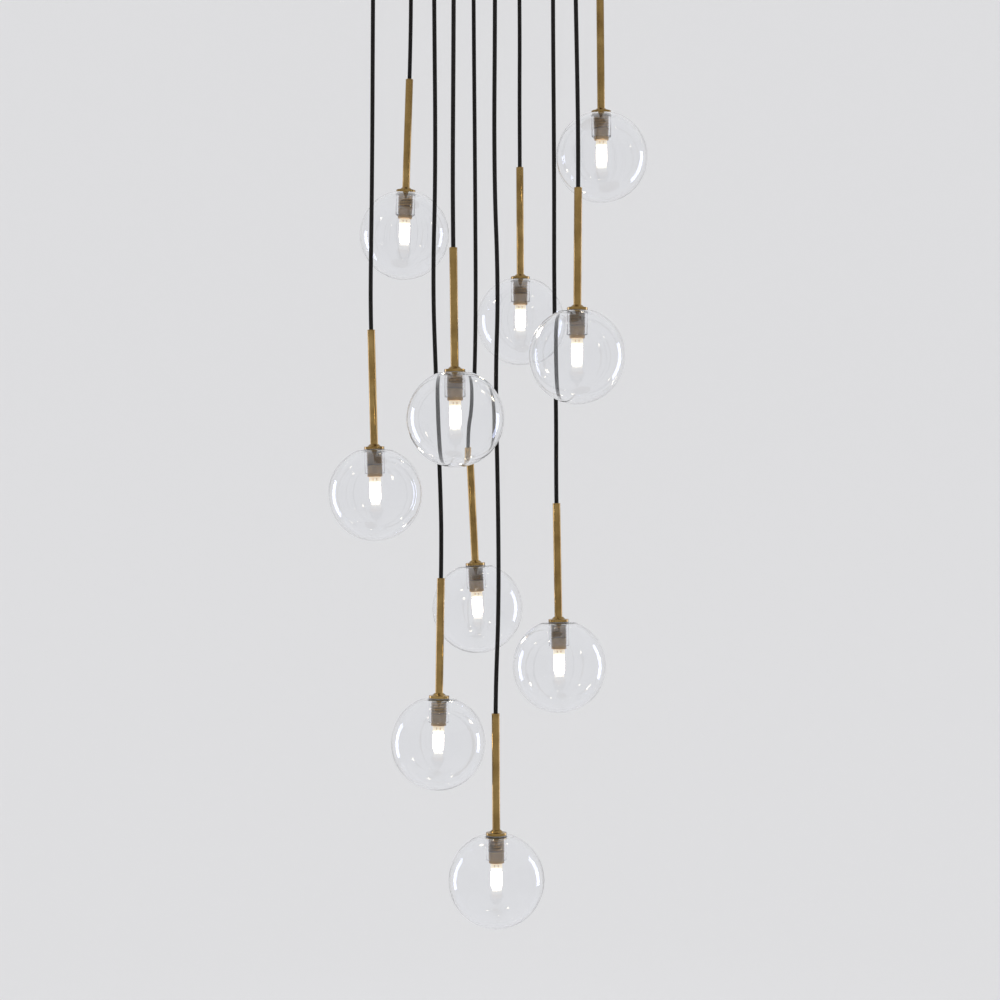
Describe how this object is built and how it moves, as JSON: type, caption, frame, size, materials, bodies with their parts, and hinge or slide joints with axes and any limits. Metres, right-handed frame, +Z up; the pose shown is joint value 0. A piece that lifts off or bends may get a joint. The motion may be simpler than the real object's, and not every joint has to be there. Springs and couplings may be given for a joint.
{
  "type": "cluster pendant",
  "caption": "Ceiling cluster of clear glass globes on slim brass stems, hung at staggered heights on braided cords from one round canopy.",
  "frame": {"origin": "on the ceiling face at the centre of the canopy", "axes": "+Z up towards the ceiling, -Y towards the viewer of the picture, +X to the viewer's right"},
  "size_m": [0.4147, 0.412, 1.5123],
  "materials": {
    "polished_brass": "polished",
    "zinc_steel": "zinc plated",
    "terminal_plastic": "moulded",
    "cream_ceramic": "glazed ceramic",
    "lead_sheath": "smooth sheath",
    "earth_sheath": "smooth sheath",
    "grommet_rubber": "moulded",
    "braided_textile": "braided",
    "bulb_glass": "lit, warm white",
    "clear_glass": "clear, blown"
  },
  "bodies": {
    "canopy": {"canopy_dish": "polished_brass", "ceiling_bracket": "zinc_steel", "side_screws": "polished_brass", "cord_grips": "polished_brass", "grip_nuts": "zinc_steel", "terminal_block": "terminal_plastic", "clamp_screws": "zinc_steel", "inner_leads": "lead_sheath", "earth_lead": "earth_sheath", "supply_grommet": "grommet_rubber"},
    "pendant_1": {"cord_1": "braided_textile", "stem_1": "polished_brass", "holder_1": "polished_brass"},
    "lamp_1": {"bulb_1": "bulb_glass"},
    "shade_1": {"globe_1": "clear_glass"},
    "pendant_2": {"cord_2": "braided_textile", "stem_2": "polished_brass", "holder_2": "polished_brass"},
    "lamp_2": {"bulb_2": "bulb_glass"},
    "shade_2": {"globe_2": "clear_glass"},
    "pendant_3": {"cord_3": "braided_textile", "stem_3": "polished_brass", "holder_3": "polished_brass"},
    "lamp_3": {"bulb_3": "bulb_glass"},
    "shade_3": {"globe_3": "clear_glass"},
    "pendant_4": {"cord_4": "braided_textile", "stem_4": "polished_brass", "holder_4": "polished_brass"},
    "lamp_4": {"bulb_4": "bulb_glass"},
    "shade_4": {"globe_4": "clear_glass"},
    "pendant_5": {"cord_5": "braided_textile", "stem_5": "polished_brass", "holder_5": "polished_brass"},
    "lamp_5": {"bulb_5": "bulb_glass"},
    "shade_5": {"globe_5": "clear_glass"},
    "pendant_6": {"cord_6": "braided_textile", "stem_6": "polished_brass", "holder_6": "polished_brass"},
    "lamp_6": {"bulb_6": "bulb_glass"},
    "shade_6": {"globe_6": "clear_glass"},
    "pendant_7": {"cord_7": "braided_textile", "stem_7": "polished_brass", "holder_7": "polished_brass"},
    "lamp_7": {"bulb_7": "bulb_glass"},
    "shade_7": {"globe_7": "clear_glass"},
    "pendant_8": {"cord_8": "braided_textile", "stem_8": "polished_brass", "holder_8": "polished_brass"},
    "lamp_8": {"bulb_8": "bulb_glass"},
    "shade_8": {"globe_8": "clear_glass"},
    "pendant_9": {"cord_9": "braided_textile", "stem_9": "polished_brass", "holder_9": "polished_brass"},
    "lamp_9": {"bulb_9": "bulb_glass"},
    "shade_9": {"globe_9": "clear_glass"},
    "pendant_10": {"cord_10": "braided_textile", "stem_10": "polished_brass", "holder_10": "polished_brass"},
    "lamp_10": {"bulb_10": "bulb_glass"},
    "shade_10": {"globe_10": "clear_glass"}
  },
  "joints": [
    {"name": "pendant_1_swing", "type": "hinge", "parent": "canopy", "child": "pendant_1", "pos_m": [-0.14522, -0.03756, -0.036], "axis": [-0.2588, 0.9659, 0], "range_deg": [0, 12]},
    {"name": "globe_1_unscrew", "type": "slide", "parent": "pendant_1", "child": "shade_1", "axis": [0.0264, 0, -0.9997], "range_m": [0, 0.075]},
    {"name": "bulb_1_pull", "type": "slide", "parent": "pendant_1", "child": "lamp_1", "axis": [0.0264, 0, -0.9997], "range_m": [0, 0.012]},
    {"name": "pendant_2_swing", "type": "hinge", "parent": "canopy", "child": "pendant_2", "pos_m": [-0.10514, 0.10699, -0.036], "axis": [0.7193, 0.6947, 0], "range_deg": [0, 12]},
    {"name": "globe_2_unscrew", "type": "slide", "parent": "pendant_2", "child": "shade_2", "axis": [-0.0323, 0, -0.9995], "range_m": [0, 0.075]},
    {"name": "bulb_2_pull", "type": "slide", "parent": "pendant_2", "child": "lamp_2", "axis": [-0.0323, 0, -0.9995], "range_m": [0, 0.012]},
    {"name": "pendant_3_swing", "type": "hinge", "parent": "canopy", "child": "pendant_3", "pos_m": [-0.0685, -0.05032, -0.036], "axis": [-0.766, 0.6428, 0], "range_deg": [0, 12]},
    {"name": "globe_3_unscrew", "type": "slide", "parent": "pendant_3", "child": "shade_3", "axis": [-0.0162, 0, -0.9999], "range_m": [0, 0.075]},
    {"name": "bulb_3_pull", "type": "slide", "parent": "pendant_3", "child": "lamp_3", "axis": [-0.0162, 0, -0.9999], "range_m": [0, 0.012]},
    {"name": "pendant_4_swing", "type": "hinge", "parent": "canopy", "child": "pendant_4", "pos_m": [-0.04009, -0.14455, -0.036], "axis": [-0.9613, 0.2756, 0], "range_deg": [0, 12]},
    {"name": "globe_4_unscrew", "type": "slide", "parent": "pendant_4", "child": "shade_4", "axis": [0.0119, 0, -0.9999], "range_m": [0, 0.075]},
    {"name": "bulb_4_pull", "type": "slide", "parent": "pendant_4", "child": "lamp_4", "axis": [0.0119, 0, -0.9999], "range_m": [0, 0.012]},
    {"name": "pendant_5_swing", "type": "hinge", "parent": "canopy", "child": "pendant_5", "pos_m": [-0.01999, 0.08262, -0.036], "axis": [0.9659, 0.2588, 0], "range_deg": [0, 12]},
    {"name": "globe_5_unscrew", "type": "slide", "parent": "pendant_5", "child": "shade_5", "axis": [0.0502, 0, -0.9987], "range_m": [0, 0.075]},
    {"name": "bulb_5_pull", "type": "slide", "parent": "pendant_5", "child": "lamp_5", "axis": [0.0502, 0, -0.9987], "range_m": [0, 0.012]},
    {"name": "pendant_6_swing", "type": "hinge", "parent": "canopy", "child": "pendant_6", "pos_m": [0.00903, -0.08452, -0.036], "axis": [-0.866, -0.5, 0], "range_deg": [0, 12]},
    {"name": "globe_6_unscrew", "type": "slide", "parent": "pendant_6", "child": "shade_6", "axis": [0.0052, 0, -1], "range_m": [0, 0.075]},
    {"name": "bulb_6_pull", "type": "slide", "parent": "pendant_6", "child": "lamp_6", "axis": [0.0052, 0, -1], "range_m": [0, 0.012]},
    {"name": "pendant_7_swing", "type": "hinge", "parent": "canopy", "child": "pendant_7", "pos_m": [0.04009, 0.14455, -0.036], "axis": [0.9613, -0.2756, 0], "range_deg": [0, 12]},
    {"name": "globe_7_unscrew", "type": "slide", "parent": "pendant_7", "child": "shade_7", "axis": [0.0045, 0, -1], "range_m": [0, 0.075]},
    {"name": "bulb_7_pull", "type": "slide", "parent": "pendant_7", "child": "lamp_7", "axis": [0.0045, 0, -1], "range_m": [0, 0.012]},
    {"name": "pendant_8_swing", "type": "hinge", "parent": "canopy", "child": "pendant_8", "pos_m": [0.08341, -0.01636, -0.036], "axis": [-0.342, -0.9397, 0], "range_deg": [0, 12]},
    {"name": "globe_8_unscrew", "type": "slide", "parent": "pendant_8", "child": "shade_8", "axis": [0.0173, 0, -0.9999], "range_m": [0, 0.075]},
    {"name": "bulb_8_pull", "type": "slide", "parent": "pendant_8", "child": "lamp_8", "axis": [0.0173, 0, -0.9999], "range_m": [0, 0.012]},
    {"name": "pendant_9_swing", "type": "hinge", "parent": "canopy", "child": "pendant_9", "pos_m": [0.10514, -0.10699, -0.036], "axis": [-0.7193, -0.6947, 0], "range_deg": [0, 12]},
    {"name": "globe_9_unscrew", "type": "slide", "parent": "pendant_9", "child": "shade_9", "axis": [-0.0063, 0, -1], "range_m": [0, 0.075]},
    {"name": "bulb_9_pull", "type": "slide", "parent": "pendant_9", "child": "lamp_9", "axis": [-0.0063, 0, -1], "range_m": [0, 0.012]},
    {"name": "pendant_10_swing", "type": "hinge", "parent": "canopy", "child": "pendant_10", "pos_m": [0.14522, 0.03756, -0.036], "axis": [0.2588, -0.9659, 0], "range_deg": [0, 12]},
    {"name": "globe_10_unscrew", "type": "slide", "parent": "pendant_10", "child": "shade_10", "axis": [0.0093, 0, -1], "range_m": [0, 0.075]},
    {"name": "bulb_10_pull", "type": "slide", "parent": "pendant_10", "child": "lamp_10", "axis": [0.0093, 0, -1], "range_m": [0, 0.012]}
  ]
}
